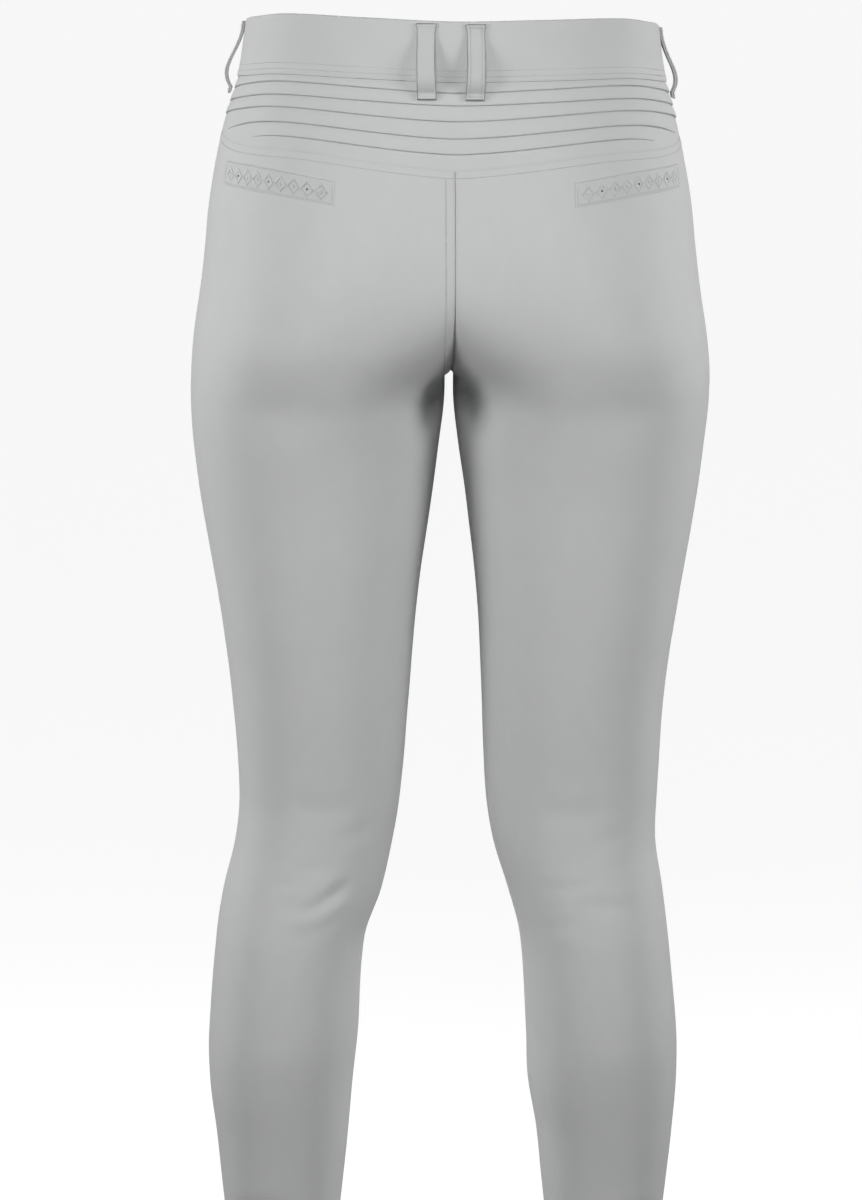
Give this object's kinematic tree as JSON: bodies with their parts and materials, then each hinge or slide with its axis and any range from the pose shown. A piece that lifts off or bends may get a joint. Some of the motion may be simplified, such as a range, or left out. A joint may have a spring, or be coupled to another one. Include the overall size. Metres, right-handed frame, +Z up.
{
  "type": "riding breeches",
  "caption": "Close-fitting riding breeches with a tucked back yoke, slanted welt pockets, belt loops and a front fly, filled out as worn and standing with the feet apart.",
  "frame": {"origin": "centre of the waist opening, level with the top edge of the waistband", "axes": "+Z up, -Y out of the front, +X toward the wearer's left"},
  "size_m": [0.3592, 0.2365, 0.9039],
  "materials": {
    "cloth": "smooth matte stretch cloth, pearl grey",
    "trim": "the same cloth, doubled and stitched",
    "button": "satin nickel"
  },
  "bodies": {
    "root": {"waistband": "cloth", "back_yoke": "cloth", "front_left": "cloth", "back_left": "cloth", "pocket_welt_left": "trim", "front_right": "cloth", "back_right": "cloth", "pocket_welt_right": "trim", "fly": "cloth", "belt_loop_back_left": "trim", "belt_loop_back_right": "trim", "belt_loop_side_left": "trim", "belt_loop_side_right": "trim", "belt_loop_front_left": "trim", "belt_loop_front_right": "trim", "button": "button"}
  },
  "joints": []
}
